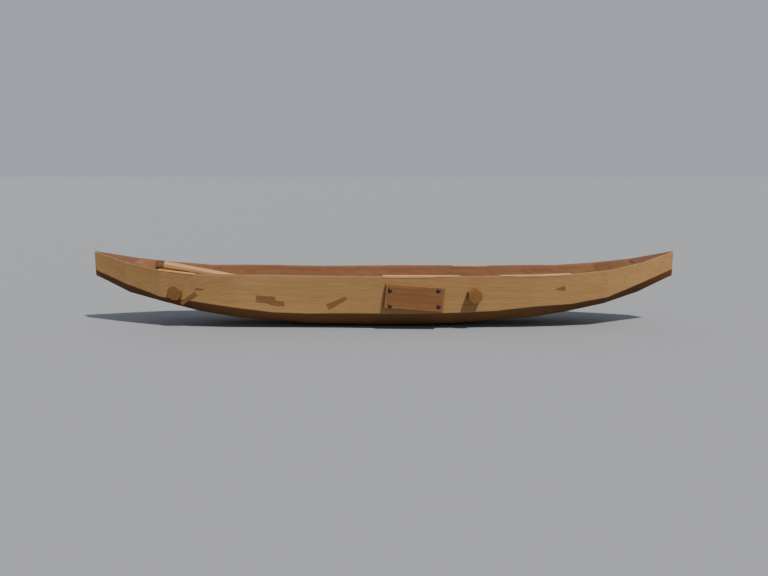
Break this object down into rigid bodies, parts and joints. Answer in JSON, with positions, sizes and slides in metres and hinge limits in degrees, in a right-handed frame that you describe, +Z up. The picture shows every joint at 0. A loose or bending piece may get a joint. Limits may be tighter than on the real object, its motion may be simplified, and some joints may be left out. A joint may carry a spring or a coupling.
{
  "type": "dugout canoe",
  "caption": "Dugout canoe carved from one log, with a let-in repair board, wooden crack wedges, branch stubs, rim slivers and a push pole lying in the hollow.",
  "frame": {"origin": "middle of the narrow flat under the bottom, on the floor", "axes": "+X forward along the hull, +Z up, -Y out of the side with the repair board"},
  "size_m": [5, 0.8193, 0.622],
  "materials": {
    "hull_wood": "hewn, weathered, dark below the chine",
    "dark_wood": "dark brown, matte",
    "pale_wood": "new, bare, satin",
    "nail_iron": "blackened, hammered"
  },
  "bodies": {
    "root": {"hull": "hull_wood", "repair_patch": "dark_wood", "patch_nail_1": "nail_iron", "patch_nail_2": "nail_iron", "patch_nail_3": "nail_iron", "patch_nail_4": "nail_iron", "rim_strip_1": "pale_wood", "rim_strip_2": "pale_wood", "rim_strip_3": "pale_wood", "rim_strip_4": "pale_wood", "knot_stub_1": "dark_wood", "knot_stub_2": "dark_wood", "crack_wedge_1": "dark_wood", "crack_wedge_2": "dark_wood", "crack_wedge_3": "dark_wood", "crack_wedge_4": "dark_wood", "crack_wedge_5": "dark_wood", "push_pole": "pale_wood", "pole_knob": "dark_wood"}
  },
  "joints": []
}
